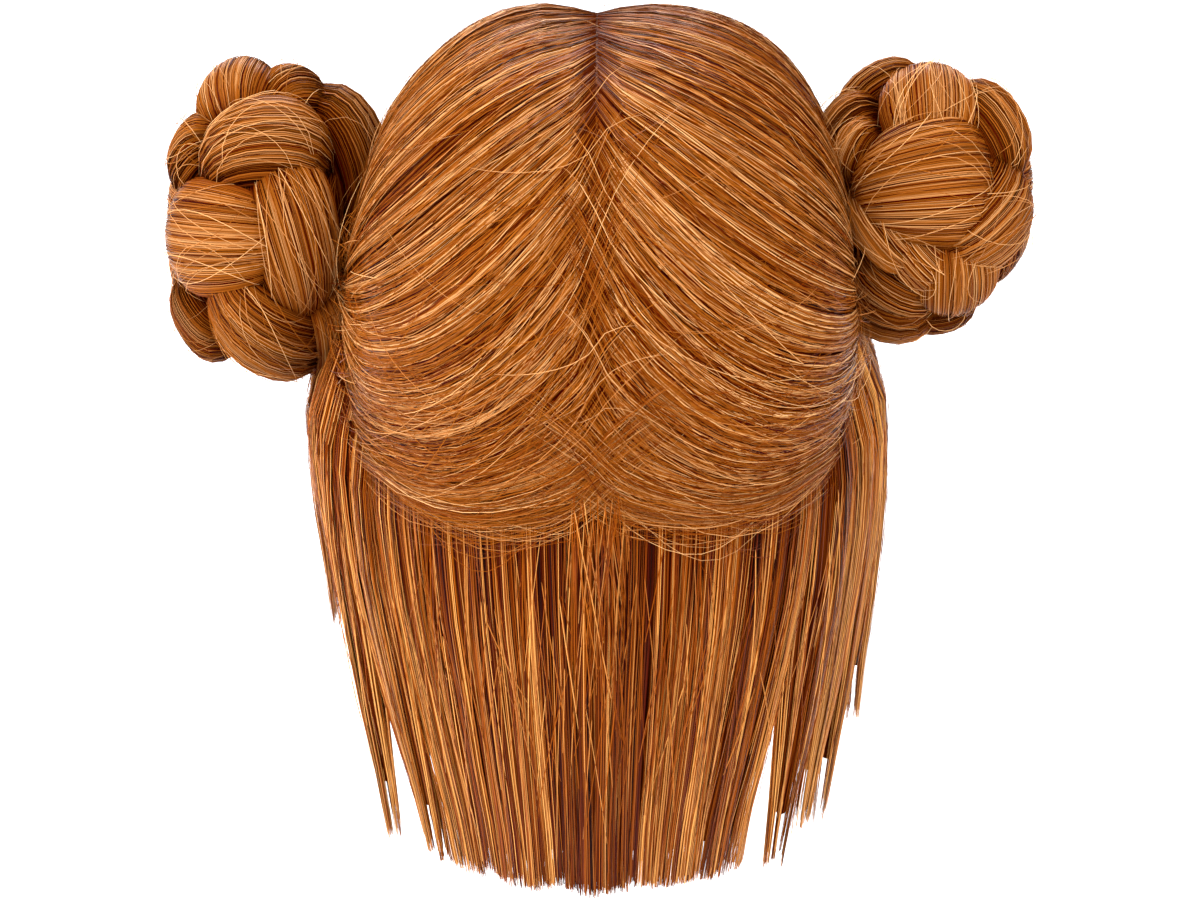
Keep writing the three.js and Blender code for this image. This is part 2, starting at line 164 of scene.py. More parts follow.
def dome(direction, offset):
    """Direction over its 2.3-norm, each axis first divided by the head's half size plus the offset."""
    upright = np.where(direction[..., 2] < 0, FIT_LOW, FIT_TOP)
    half = np.broadcast_arrays(FIT_ACROSS + offset, FIT_ALONG + offset, upright + offset)
    norm = np.sum((np.abs(direction) / np.stack(half, -1)) ** ROUNDNESS, -1) ** (1 / ROUNDNESS)
    return direction / norm[..., None]


def dome_reach(turn, height, offset):
    """Distance from the upright axis to the dome at a height and turn: the same norm, solved for it."""
    upright = np.where(height < 0, FIT_LOW, FIT_TOP) + offset
    left = np.maximum(0, 1 - (np.abs(height) / upright) ** ROUNDNESS)
    across = (np.abs(np.sin(turn)) / (FIT_ACROSS + offset)) ** ROUNDNESS
    along = (np.abs(np.cos(turn)) / (FIT_ALONG + offset)) ** ROUNDNESS
    return (left / (across + along)) ** (1 / ROUNDNESS)


def around(turn, reach, height):
    """Point at a turn round the upright axis (0 at the back, left positive), a reach and a height."""
    return np.stack(np.broadcast_arrays(reach * np.sin(turn), reach * np.cos(turn), height), -1)


def swept_direction(part, sweep, side):
    """Direction of a swept lock: its sweep away from the part, turned back by start + lean + tuck."""
    start, lean, tuck = np.moveaxis(through(FLOW, part), -1, 0)
    fall = np.sign(sweep) * np.sin(np.pi / 2 * np.minimum(1, np.abs(sweep) / FALL_END) ** FALL_POWER)
    turn = np.radians(start + lean * fall + tuck * smooth(sweep, TUCK_START, SWEEP_END))
    s = np.sin(np.radians(sweep))
    c = np.cos(np.radians(sweep))
    return np.stack([side * s, -c * np.cos(turn), c * np.sin(turn) + BASE_RISE * s * s], -1)


def swept_depth(part, sweep, side):
    """Depth of the swept hair over the cap: a groove at the part that closes low at the back."""
    depth = through(DEPTHS, np.abs(sweep) / SWEEP_END)[..., 0]
    crossing = PART_FILL * smooth(part, *CROSSING_PART) * (1 - smooth(np.abs(sweep), 0, CROSSING_WIDTH))
    hairline = 0.5 + 0.5 * smooth(part, 0, HAIRLINE_SHARE)
    lower = 0.9 + 0.1 * smooth(1 - part, 0, EDGE_SHARE)
    beside = smooth(sweep, *FULLER_START) * (1 - smooth(sweep, *FULLER_END))
    full = 1 - FULLER_RIGHT * side * beside * (1 - smooth(part, *FULLER_PART))
    return (depth * full + crossing) * hairline * lower


def swept_point(part, sweep, side, lift):
    """Point of the swept hair, lifted off its surface."""
    return dome(swept_direction(part, sweep, side), HAIR_BASE + swept_depth(part, sweep, side) + lift)


# %% [markdown]
# ## From arrays to meshes
# A strand could be a Blender curve, but thousands of curves are slow and a bare curve has no
# colour of its own. Here a strand is a narrow ribbon, two points at every step along its path.
# Each ribbon is tilted about its path by its own angle, so that neighbours catch the light
# differently, as round fibres do. All strands of a piece become one mesh, and each point keeps
# its shade in an attribute.

# %% Mesh functions
def add_attribute(mesh, name, kind, key, values):
    """An attribute on the mesh's points, filled from an array."""
    attribute = mesh.attributes.new(name, kind, "POINT")
    attribute.data.foreach_set(key, values.astype(np.float32).ravel())


def make_piece(name, points, faces, material, shade=None, lay=None, replaces=None):
    """Mesh object from points (millimetres about the head's middle) and an array of quads."""
    mesh = bpy.data.meshes.new(name)
    mesh.vertices.add(len(points))
    mesh.vertices.foreach_set("co", ((points + HEAD) * MM).astype(np.float32).ravel())
    mesh.loops.add(faces.size)
    mesh.loops.foreach_set("vertex_index", faces.astype(np.int32).ravel())
    mesh.polygons.add(len(faces))
    mesh.polygons.foreach_set("loop_start", np.arange(0, faces.size, 4, dtype=np.int32))
    if shade is not None:
        add_attribute(mesh, "shade", "FLOAT", "value", shade)
    if lay is not None:
        add_attribute(mesh, "lay", "FLOAT_VECTOR", "vector", lay)
    mesh.update(calc_edges=True)
    mesh.validate()
    mesh.shade_smooth()
    mesh.materials.append(material)
    piece = bpy.data.objects.new(name, mesh)
    bpy.context.scene.collection.objects.link(piece)
    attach(piece, "root")
    if replaces:
        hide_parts(replaces)
    print(f"{name}: {2 * len(faces)} triangles")


def grid_faces(rows, columns, first=0, round_rows=False):
    """Quads of a grid of points stored row by row, closed round each row when asked."""
    r = np.arange(rows - 1)[:, None] * columns
    c = np.arange(columns if round_rows else columns - 1)
    n = (c + 1) % columns
    quads = np.stack([r + c, r + n, r + columns + n, r + columns + c], -1)
    return quads.reshape(-1, 4) + first


def ribbons(path, outward, width, tilt):
    """Strands as ribbons: path -/+ half a width to the side, a side that is tilted about the path."""
    count, steps = path.shape[:2]
    t = np.linspace(0, 1, steps)
    taper = 0.2 + 0.8 * smooth(t, 0, 0.08) * (1 - 0.5 * smooth(t, 0.88, 1))
    half = (width[:, None] * taper)[..., None] / 2
    along = unit(np.gradient(path, axis=1))
    flat = unit(np.cross(along, outward))
    side = flat * np.cos(tilt)[:, None, None] + np.cross(flat, along) * np.sin(tilt)[:, None, None]
    points = np.stack([path - side * half, path + side * half], 2)
    first = (np.arange(count)[:, None] * steps + np.arange(steps - 1)) * 2
    faces = np.stack([first, first + 1, first + 3, first + 2], -1)
    return points.reshape(-1, 3), faces.reshape(-1, 4)


def evenly(count):
    """Shares from -1 to 1, one from each of a row of equal steps, so that strands lie side by side."""
    return (2 * (np.arange(count) + rng.uniform(0, 1, count)) / count - 1)[:, None]


def strand_piece(name, path, outward, width, shade, material):
    """One piece made of many strands: width by strand, shade by strand or by point."""
    tilt = rng.uniform(-TILT_RANGE, TILT_RANGE, len(path))
    points, faces = ribbons(path, unit(outward), width, tilt)
    shade = np.broadcast_to(shade.reshape(len(path), -1), path.shape[:2])
    make_piece(name, points, faces, material, shade=np.repeat(np.clip(shade, 0, 1), 2))


# %% [markdown]
# ## Materials
# The fibre is a glossy synthetic in ginger: each strand picks its tone from a ramp by its shade,
# and about one in five is dark: painted shade, which draws the thin shadowed lines between fibres.
# The palest tones of each ramp are painted highlights, for fibres that catch the light. The hanging
# hair has a redder ramp of its own, painted shade for the shade and bounced light among its strands.
# Under the strands lies the mass of the hair, whose streaks come from a noise stretched along the lay
# of the hair, and which is darker because light hardly gets there. A wide highlight would turn the
# dark strands grey, so the fibre's is weak and tinted.

# %% Materials
FIBRE_ROUGHNESS = 0.27
FIBRE_SPECULAR = 0.05
FIBRE_TINT = "#ffa050"
STREAK_WIDTH = 0.4
STREAK_LENGTH = 50
NET_CELL = 1.6


def colour(code):
    """Linear colour of an sRGB hex code, by the sRGB transfer curve."""
    srgb = np.array([int(code[i:i + 2], 16) for i in (1, 3, 5)]) / 255
    linear = np.where(srgb <= 0.04045, srgb / 12.92, ((srgb + 0.055) / 1.055) ** 2.4)
    return (*linear, 1.0)


def add(tree, kind, place, **values):
    """A node of a kind at a place, with its input sockets set by name."""
    node = tree.nodes.new(kind)
    node.location = place
    for key, value in values.items():
        node.inputs[key.replace("_", " ")].default_value = value
    return node


def new_material(name, roughness):
    """An empty material: its principled shader and its node tree."""
    material = bpy.data.materials.new(name)
    material.use_nodes = True
    shader = material.node_tree.nodes["Principled BSDF"]
    shader.inputs["Roughness"].default_value = roughness
    return material, material.node_tree, shader


def ramp(tree, place, stops):
    """A colour ramp through (position, hex code) stops."""
    node = tree.nodes.new("ShaderNodeValToRGB")
    node.location = place
    while len(node.color_ramp.elements) < len(stops):
        node.color_ramp.elements.new(1.0)
    for element, (position, code) in zip(node.color_ramp.elements, stops):
        element.position = position
        element.color = colour(code)
    return node


def hair_material(name, stops):
    """Ginger synthetic fibre: the shade of a strand picks its tone from the ramp."""
    material, tree, shader = new_material(name, FIBRE_ROUGHNESS)
    shade = add(tree, "ShaderNodeAttribute", (-700, 0))
    shade.attribute_name = "shade"
    tones = ramp(tree, (-450, 0), stops)
    tree.links.new(shade.outputs["Fac"], tones.inputs["Fac"])
    tree.links.new(tones.outputs["Color"], shader.inputs["Base Color"])
    shader.inputs["Specular IOR Level"].default_value = FIBRE_SPECULAR
    shader.inputs["Specular Tint"].default_value = colour(FIBRE_TINT)
    return material


def under_material():
    """Mass of hair under the strands: streaks 0.4 mm wide and 50 mm long, with a bump."""
    material, tree, shader = new_material("ginger_fibre_under", 0.5)
    lay = add(tree, "ShaderNodeAttribute", (-1100, 0))
    lay.attribute_name = "lay"
    stretch = add(tree, "ShaderNodeMapping", (-900, 0), Scale=(1 / STREAK_WIDTH, 1 / STREAK_LENGTH, 1))
    streaks = add(tree, "ShaderNodeTexNoise", (-700, 0), Scale=1.0, Detail=3.0)
    tones = ramp(tree, (-450, 0), [(0.35, "#140000"), (0.5, "#3c1002"), (0.65, "#6e3006")])
    bump = add(tree, "ShaderNodeBump", (-300, -250), Strength=0.6, Distance=STREAK_WIDTH * MM)
    shader.inputs["Specular IOR Level"].default_value = 0.0
    tree.links.new(lay.outputs["Vector"], stretch.inputs["Vector"])
    tree.links.new(stretch.outputs["Vector"], streaks.inputs["Vector"])
    tree.links.new(streaks.outputs["Fac"], tones.inputs["Fac"])
    tree.links.new(tones.outputs["Color"], shader.inputs["Base Color"])
    tree.links.new(streaks.outputs["Fac"], bump.inputs["Height"])
    tree.links.new(bump.outputs["Normal"], shader.inputs["Normal"])
    return material


def cap_material():
    """Brown stretch net: a pattern of cells about 1.6 mm apart gives its tone and its bump."""
    material, tree, shader = new_material("brown_net", 0.85)
    place = add(tree, "ShaderNodeAttribute", (-1100, 0))
    place.attribute_name = "lay"
    cells = add(tree, "ShaderNodeTexVoronoi", (-800, 0), Scale=1 / NET_CELL)
    tones = ramp(tree, (-450, 0), [(0.1, "#3a1e0c"), (0.6, "#6b4122")])
    bump = add(tree, "ShaderNodeBump", (-300, -250), Strength=0.5, Distance=0.3 * MM)
    tree.links.new(place.outputs["Vector"], cells.inputs["Vector"])
    tree.links.new(cells.outputs["Distance"], tones.inputs["Fac"])
    tree.links.new(tones.outputs["Color"], shader.inputs["Base Color"])
    tree.links.new(cells.outputs["Distance"], bump.inputs["Height"])
    tree.links.new(bump.outputs["Normal"], shader.inputs["Normal"])
    return material


# The palest tones at the top of each ramp are painted highlights, for fibres that catch the light
HAIR = hair_material("ginger_fibre", [
    (0.0, "#120000"), (0.25, "#420600"), (0.5, "#6c2c04"), (0.75, "#904e14"), (1.0, "#d6a068"),
])
# Painted shade: the same fibre with a redder ramp, for the shade and bounced light among the hanging
# strands
SHADED_LOWER_HAIR = hair_material("ginger_fibre_lower_shaded", [
    (0.0, "#140000"), (0.25, "#440800"), (0.5, "#6c2a02"), (0.75, "#90460a"), (1.0, "#da964e"),
])
UNDER = under_material()
CAP = cap_material()
print("materials:", HAIR.name, SHADED_LOWER_HAIR.name, UNDER.name, CAP.name)

# %% [markdown]
# ## Cap
# The foundation is a thin dome, low at the nape and high over the face. It is a grid round the
# head, once for the inside and once for the outside, stitched together along the rim.

# %% Cap
def cap_piece(around_steps=96, rows=32):
    """Dome between the rim and the top: height falls from the top by a cosine, reach from the dome."""
    turn = np.linspace(0, 2 * np.pi, around_steps, endpoint=False)
    v = np.linspace(0.02, 1, rows)[:, None]
    grids = []
    for offset in (CAP_WALL, 0.0):
        rim = RIM_MIDDLE - RIM_SWING * np.cos(turn)
        height = rim + (FIT_TOP + offset - rim) * np.cos(v * np.pi / 2)
        grids.append(around(turn[None, :], dome_reach(turn[None, :], height, offset), height))
    points = np.concatenate([g.reshape(-1, 3) for g in (grids[1][::-1], grids[0])])
    faces = grid_faces(2 * rows, around_steps, round_rows=True)
    make_piece("cap_net", points, faces, CAP, lay=points, replaces="cap")


cap_piece()

# %% [markdown]
# ## Swept hair
# Each half of the crown is a shell under about six thousand strands in 170 locks. The shell closes
# the view between the strands. A strand leaves the part, falls beside it, levels out and runs into
# the base of the bun. Low at the back the locks of both sides start across the part and cross.
# Single evenly spread strands would look combed by a machine, so a lock's strands share a bend,
# a height and a tone, and only then does each get a little of its own.

# %% Swept hair
BUN_CENTRES = {"left": np.array([-104, 32.5, -2]), "right": np.array([101, 40, 17])}
CHART = np.array([
    [-1, 0, 0],
    [0, -math.sin(CHART_TILT), math.cos(CHART_TILT)],
    [0, math.cos(CHART_TILT), math.sin(CHART_TILT)],
])

# How far the shell lies below the strands, the length of the part, and that of a degree of sweep
SHELL_SINK = 1.2
PART_LENGTH = 260
SWEEP_LENGTH = 1.5

# Share of the locks that start far across the part, and how far those and the others do, in degrees
CROSSING_SHARE = 0.12
CROSSING_FAR = (2, 8)
CROSSING_NEAR = (0, 1.6)

# Degrees over which the strands of a lock start and end
STRAND_STARTS = (-1, 0.6)
STRAND_ENDS = (78, 82)

# How much the locks differ: height in millimetres, tone, and bend as a share of the part
LOCK_RISE = 0.15
LOCK_TONE = 0.03
LOCK_BEND = 0.005

# How deep the roots lie, how high the bun's seat is over the cap, and how far tails reach into the bun
ROOT_SINK = 1.8
SEAT_DEPTH = 3.0
TAIL_REACH = 16


def swept_shell(name, side, rows=70, steps=36):
    """Closed shell of one half: the lifted surface, then its lining, as one grid that folds over."""
    part = np.linspace(0, 1, rows)[:, None]
    sweep = np.linspace(0.15, SWEEP_END, steps)[None, :]
    outer = swept_point(part, sweep + 0 * part, side, -SHELL_SINK)
    inner = dome(swept_direction(part + 0 * sweep, sweep + 0 * part, side), HAIR_BASE)
    folded = np.concatenate([outer, inner[:, ::-1]], 1)
    folded_sweep = np.concatenate([sweep, sweep[:, ::-1]], 1)
    lay = np.stack(np.broadcast_arrays(part * PART_LENGTH, folded_sweep * SWEEP_LENGTH, 0), -1)
    faces = grid_faces(rows, 2 * steps, round_rows=True)
    if side > 0:
        faces = faces[:, ::-1]
    make_piece(f"swept_under_{name}", folded.reshape(-1, 3), faces, UNDER,
               lay=lay.reshape(-1, 3), replaces=f"swept_hair_{name}")


def pole_of(side):
    """Middle of the bun's seat on the head, and the direction in which the bun stands off it."""
    pole = dome(np.array([side, 0, BASE_RISE]), HAIR_BASE + SEAT_DEPTH)
    return pole, unit(BUN_CENTRES["left" if side > 0 else "right"] @ CHART - pole)


def swept_strands(name, side, locks=170, each=36, steps=14, tail=2):
    """Strands of one half in locks: rounded bundles with a bend and a height, and tails into the bun."""
    count = locks * each

    def shared(values):
        return np.repeat(values, each)[:, None]

    middle = shared((np.arange(locks) + rng.uniform(0.1, 0.9, locks)) / locks)
    crosses = rng.uniform(0, 1, locks) < CROSSING_SHARE
    far = rng.uniform(*CROSSING_FAR, locks)
    near = rng.uniform(*CROSSING_NEAR, locks)
    across = shared(np.where(crosses, far, near))
    begin = -0.4 - across * smooth(middle, 0.4, 0.9)
    rise = shared(rng.normal(0, LOCK_RISE, locks))
    tone = shared(rng.normal(0, LOCK_TONE, locks))
    bend = shared(rng.normal(0, LOCK_BEND, locks))
    phase = shared(rng.uniform(*PHASES, locks))

    aside = np.concatenate([evenly(each) for _ in range(locks)])
    deep = rng.uniform(0, 1, (count, 1))
    own = rng.normal(0, 1, (count, 1))
    dark = rng.uniform(0, 1, (count, 1)) < SHADED_GAP_SHARE

    # Steps of neighbours don't line up, or their corners would show as ripples
    t = np.linspace(0, 1, steps)[None, :] ** 1.1
    t = t + rng.uniform(-0.5, 0.5, (count, 1)) / steps * np.sin(np.pi * t)
    start = begin + rng.uniform(*STRAND_STARTS, (count, 1)) * (0.4 + 1.8 * smooth(middle, 0.3, 0.95))
    sweep = start + (rng.uniform(*STRAND_ENDS, (count, 1)) - start) * t
    spread = (1.2 / locks) * (1.3 - 0.4 * np.sin(np.pi * t) ** 2)
    frayed = 0.007 * rng.normal(0, 1, (count, 1)) * smooth(middle, 0.1, 0.4)
    course = middle + aside * spread
    course = course + bend * np.sin(phase + 4 * t) * smooth(t, 0, 0.25)
    course = course + 0.0008 * own * np.sin(phase + own * 2 + 6 * t)
    course = course + frayed * (1 - smooth(t, 0, 0.3))
    level = rise + 0.5 * np.sqrt(1 - aside ** 2) - 1.3 * deep - 0.2
    lift = (level + ROOT_SINK) * smooth(t, -0.03, 0.12) - ROOT_SINK + 0.12 * np.sin(own * 5 + 5 * t)
    path = swept_point(np.clip(course, 0, 1), sweep, side, lift)

    pole, heading = pole_of(side)
    f = np.linspace(0.3, 1, tail)[None, :, None]
    tails = pole + (path[:, -1:] - pole) * (1 - 0.5 * f) + heading * TAIL_REACH * f
    outward = np.concatenate([unit(path), unit(tails - pole)], 1)
    path = np.concatenate([path, tails], 1)

    # Painted light and shade: brighter by its own tone, whose bright tail paints glints, and where it lies
    # high; darker where it lies deep, at the root, where it runs into the bun and on the dark strands that
    # stand for the shadowed gaps between fibres
    along = np.linspace(0, 1, steps + tail)
    shade = 0.6 + tone + 0.12 * np.minimum(own, GLINT_LIMIT) + 0.2 * (level + 0.5) - 0.55 * dark
    shade = shade - 0.25 * (1 - smooth(along, 0, 0.06)) - 0.3 * smooth(along, 0.85, 1)
    width = rng.uniform(*STRAND_WIDTHS, count)
    strand_piece(f"swept_strands_{name}", path, outward, width, shade, HAIR)


# Stray hairs by sort, those that sag below the edge, cross the crown, spring up beside the bun or
# cross low at the back: count, part, sweep at the root, sweep along it, lift, drift and sag
LOOSE_HAIRS = [
    (260, (0.9, 1.0), (-16, 20), (20, 55), (-0.5, 1.5), 0.0, 4.0),
    (240, (0.03, 0.97), (-6, 45), (12, 32), (0.3, 2.2), 0.035, 0.0),
    (150, (0.15, 1.0), (46, 64), (14, 28), (0.5, 5.5), 0.1, 0.0),
    (170, (0.6, 1.0), (-14, 40), (14, 34), (0.2, 2.4), 0.11, 0.0),
]


def loose_strands(name, side, steps=10):
    """Stray hairs of one half: they follow its lay, lift off it in an arc, drift aside and sag."""
    counts, parts, starts, lengths, lifts, drifts, sags = zip(*LOOSE_HAIRS)
    sort = np.repeat(np.arange(len(counts)), counts)

    def within(ranges):
        low, high = np.array(ranges, float)[sort].T
        return rng.uniform(low, high)[:, None]

    t = np.linspace(0, 1, steps)[None, :]
    part = within(parts)
    start = within(starts)
    sweep = np.minimum(start + within(lengths) * t, SWEEP_END)
    drift = rng.normal(0, np.array(drifts)[sort])[:, None]
    lift = 0.4 + within(lifts) * np.sin(np.pi * t)
    path = swept_point(np.clip(part + drift * t, 0, 1), sweep, side, lift)
    path[..., 2] -= rng.exponential(np.array(sags)[sort])[:, None] * np.sin(np.pi * t)
    width = rng.uniform(*STRAY_WIDTHS, len(sort))
    shade = rng.normal(0.66, 0.15, (len(sort), 1))
    strand_piece(f"loose_strands_{name}", path, unit(path), width, shade, HAIR)


for name, side in (("left", 1), ("right", -1)):
    swept_shell(name, side)
    swept_strands(name, side)
    loose_strands(name, side)

# %% [markdown]
# ## Buns
# A plaited bun is a coil of a three-strand plait. From outside one sees its turns: fat pads of
# parallel fibres whose ends dive under their neighbours. Each table row is one such turn, placed
# on a rounded core as seen from behind and above: place, grain angle, length, width, lift and fan.
# A modelled plait that really runs all the way would hide most of itself inside the bun.

# %% Buns
LEFT_TURNS = [
    (3, 26, 14, 54, 34, 12, 0.1), (-14, -8, 0, 56, 41, 12, -0.15), (-23, -33, -10, 36, 28, 11, 0),
    (32, 27, -52, 62, 34, 16, 0), (14.5, -8, -73, 60, 36, 11.5, -0.15), (3, -40, -57, 58, 34, 12, 0),
    (-10, 44, 98, 32, 33, 13, 0), (10, 44, 65, 30, 26, 10.5, 0), (-24, 23, 0, 28, 29, 10, 0),
    (20, -38, -68, 46, 24, 12, 0),
]
RIGHT_TURNS = [
    (-5, 1, 8, 56, 48, 14, 0.3), (-1, 28, 90, 40, 36, 12, 0), (-17, 37, 35, 38, 23, 10.5, 0),
    (-27, 22, 12, 32, 21, 11, 0), (-25, 13, 55, 26, 16, 9, 0), (21, 21, -60, 42, 24, 12.5, 0),
    (19, -12, 35, 48, 33, 12, 0.2), (9, -29, -78, 34, 33, 11.5, 0), (-17, -14, -52, 38, 20, 10.5, 0),
    (5, -39, 12, 30, 16, 9.5, 0), (-4, -24, -55, 30, 20, 9, 0), (-13, -33, -35, 40, 25, 9.5, 0),
    (-19, -43, 14, 50, 28, 14, 0),
]

# The half sizes of each core, and the turns on it
BUNS = {
    "left": {"core": np.array([27.5, 44.5, 35]), "turns": LEFT_TURNS},
    "right": {"core": np.array([29, 35.5, 29]), "turns": RIGHT_TURNS},
}

# Turns on the sides that the chart leaves out: degrees round from the charted side towards the
# outside, height as a share of the core, then grain, length, width, lift and fan
HIDDEN_TURNS = [
    (94, 0.22, 12, 44, 36, 6.5, 0), (88, -0.4, -35, 44, 32, 6.5, 0), (138, -0.05, -74, 56, 30, 9, 0),
    (180, 0.36, 8, 50, 34, 10, 0), (192, -0.2, -15, 50, 32, 9.5, 0), (168, -0.68, -55, 46, 32, 9.5, 0),
    (232, 0.1, 76, 52, 30, 9, 0), (132, 0.78, 50, 48, 36, 8.5, 0),
]

# The core's half height that the hidden turns are sized for, and how much a turn is shorter at its edges
HIDDEN_CORE = 40
ROUND_END = 0.25

# How far a turn is sunk into the core, and the pads below the fibres on them
TURN_SINK = 0.8
PAD_SINK = 0.7

# The place of a charted turn stays within this share of the core's outline
CHART_EDGE = 0.985

# Lay of the core ball in millimetres for each radian, round it and down it
BALL_LAY = (30, 20)


def charted_turn(name, row):
    """A turn of the chart: row, normal on the core's unit ball (place over half size), grain direction."""
    across, up, grain, length, width, lift, fan = row
    middle = BUNS[name]["core"] + lift / 2
    flat = np.array([across / middle[0], up / middle[1]])
    flat = flat * min(1, CHART_EDGE / max(np.linalg.norm(flat), 1e-6))
    normal = np.array([*flat, math.sqrt(1 - flat @ flat)])
    angle = math.radians(grain)
    along = np.array([math.cos(angle) / middle[0], math.sin(angle) / middle[1], 0])
    return length, width, lift, fan, normal, along


def hidden_turn(name, row):
    """A turn of another side: its normal from how far round and how high it lies."""
    turn, height, grain, length, width, lift, fan = row
    outside = np.sign(BUN_CENTRES[name][0])
    s = math.sin(math.radians(turn))
    c = math.cos(math.radians(turn))
    level = math.sqrt(1 - height ** 2)
    normal = np.array([outside * s * level, height, c * level])
    right = np.array([outside * c, 0, -s])
    along = right * math.cos(math.radians(grain)) + np.array([0, math.sin(math.radians(grain)), 0])
    scale = BUNS[name]["core"][1] / HIDDEN_CORE
    return length * scale, width * scale, lift, fan, normal, along


def bun_turns(name):
    """All turns of a bun, those of the chart first."""
    charted = [charted_turn(name, row) for row in BUNS[name]["turns"]]
    return charted + [hidden_turn(name, row) for row in HIDDEN_TURNS]


def turn_points(name, turn, s, w, lift):
    """Points on a turn, s along and w across it (-1 to 1): angles over the core, a height that fades."""
    length, width, crest, fan, normal, along = turn
    core = BUNS[name]["core"]
    middle = core + crest / 2
    along = unit(along - normal * (along @ normal))
    beside = np.cross(normal, along)
    sweep = length / 2 / np.linalg.norm(along * middle)
    spread = width / 2 / np.linalg.norm(beside * middle)
    angle = (w * spread * (1 - 0.2 * s * s) * (1 + fan * s))[..., None]
    height = crest * (1 - 0.85 * np.abs(s) ** 3) * np.sqrt(np.clip(1 - w * w, 0, 1)) - TURN_SINK + lift
    turned = (s * sweep * (1 - ROUND_END * w * w))[..., None]
    d = normal * np.cos(turned) + along * np.sin(turned)
    d = d * np.cos(angle) + beside * np.sin(angle)
    return (d * (core + height[..., None]) + BUN_CENTRES[name]) @ CHART


def bun_under(name, steps=18, across=14, ball_rows=24, ball_columns=40):
    """Core ball and the pads on it, as one mesh."""
    u = np.linspace(0.02, np.pi - 0.02, ball_rows)[:, None]
    v = np.linspace(0, 2 * np.pi, ball_columns, endpoint=False)[None, :]
    u, v = np.broadcast_arrays(u, v)
    ball = np.stack([np.sin(u) * np.cos(v), np.cos(u), np.sin(u) * np.sin(v)], -1) * BUNS[name]["core"]
    points = [((ball + BUN_CENTRES[name]) @ CHART).reshape(-1, 3)]
    lays = [np.stack([v * BALL_LAY[0], u * BALL_LAY[1], 0 * u], -1).reshape(-1, 3)]
    faces = [grid_faces(ball_rows, ball_columns, round_rows=True)]
    s, w = np.meshgrid(np.linspace(-1, 1, steps), np.linspace(-1, 1, across), indexing="ij")
    for turn in bun_turns(name):
        faces.append(grid_faces(steps, across, first=sum(len(p) for p in points)))
        points.append(turn_points(name, turn, s, w, -PAD_SINK).reshape(-1, 3))
        lays.append(np.stack([w * turn[1] / 2, s * turn[0] / 2, 0 * s], -1).reshape(-1, 3))
    make_piece(f"bun_under_{name}", np.concatenate(points), np.concatenate(faces), UNDER,
               lay=np.concatenate(lays), replaces=f"bun_{name}")


def wound_strands(name, steps, count=800):
    """Fibres wound round the core between the turns: arcs at one share of its width, circling it."""
    along = np.linspace(-1, 1, steps)[None, :]
    share = rng.uniform(-0.98, 0.98, (count, 1)) + 0.08 * along * rng.normal(0, 1, (count, 1))
    share = np.clip(share, -0.99, 0.99)
    angle = rng.uniform(*PHASES, (count, 1)) + np.linspace(0, 1.3, steps)[None, :]
    ring = np.sqrt(1 - share ** 2)
    d = np.stack([share, ring * np.cos(angle), ring * np.sin(angle)], -1)
    reach = BUNS[name]["core"] + rng.uniform(0, 0.8, (count, 1, 1))
    path = (d * reach + BUN_CENTRES[name]) @ CHART
    return path, rng.normal(0.35, 0.12, (count, 1)) + np.zeros(steps)


def turn_strands(name, turn, count, steps):
    """Fibres of a turn, side by side, with painted shade at its edges and where both ends dive."""
    w = 0.98 * evenly(count)
    own = rng.normal(0, 1, (count, 1))
    s = np.linspace(-1, 1, steps)[None, :] * rng.uniform(0.97, 1.06, (count, 1))
    wave = np.sin(own * 3 + s * 2)
    lift = rng.uniform(-0.6, 0.2, (count, 1)) + 0.06 * wave
    path = turn_points(name, turn, s, w + 0.006 * wave * own, lift)
    dark = rng.uniform(0, 1, (count, 1)) < SHADED_GAP_SHARE
    height = lift.mean(1, keepdims=True)
    # Painted shade on lower and dark fibres, edges and diving ends; own tone's bright tail paints glints
    shade = 0.76 + 0.08 * np.minimum(own, GLINT_LIMIT) + 0.24 * height - 0.5 * dark
    return path, shade - 0.45 * np.abs(w) ** 6 - 0.5 * np.abs(s) ** 5


def stray_strand(name, turn, steps):
    """A stray hair over a turn: it drifts across the grain, curls and lifts in the middle."""
    s = np.linspace(-1, 1, steps)[None, :]
    w = rng.uniform(-0.8, 0.8)
    drift = rng.normal(0, 0.4)
    curl = rng.normal(0, 0.4)
    lift = rng.uniform(0.3, 2.4)
    reach = rng.uniform(0.5, 1.1)
    path = turn_points(name, turn, s * reach, w + drift * s + curl * s * s, 0.5 + lift * (1 - s * s))
    return path, np.full((1, steps), rng.uniform(0.7, 1))


def bun_strands(name, per_mm=12.5, steps=11, strays=260):
    """All fibres of a bun: the wound core, every turn and the stray hairs, as one mesh."""
    turns = bun_turns(name)
    parts = [wound_strands(name, steps)]
    parts += [turn_strands(name, turn, int(turn[1] * per_mm), steps) for turn in turns]
    parts += [stray_strand(name, turns[k], steps) for k in rng.integers(0, len(turns), strays)]
    path, shade = (np.concatenate(arrays) for arrays in zip(*parts))
    width = rng.uniform(*BUN_WIDTHS, len(path))
    width[-strays:] = BUN_STRAY_WIDTH
    outward = unit(path - BUN_CENTRES[name] @ CHART)
    strand_piece(f"bun_strands_{name}", path, outward, width, shade, HAIR)


for name in BUNS:
    bun_under(name)
    bun_strands(name)

# %% [markdown]
# ## Hanging hair
# The lower hair hangs from a row of locks round the back. Each lock has a root and a tip (turns in
# degrees from the middle of the back), a drop below the middle of the head, a reach from the axis
# at its tip, and the share of its width that it keeps there. The locks at the back keep most of
# theirs, so their ends join into one blunt cut. Those at the sides draw together into points.

# %% Hanging hair

# Depth of a lock where it hangs and at its root, its width over its spacing, and its gap to the cap
LOCK_DEPTH = 8.0
LOCK_ROOT_DEPTH = 4.4
LOCK_OVERLAP = 1.3
LOCK_GAP = 0.75

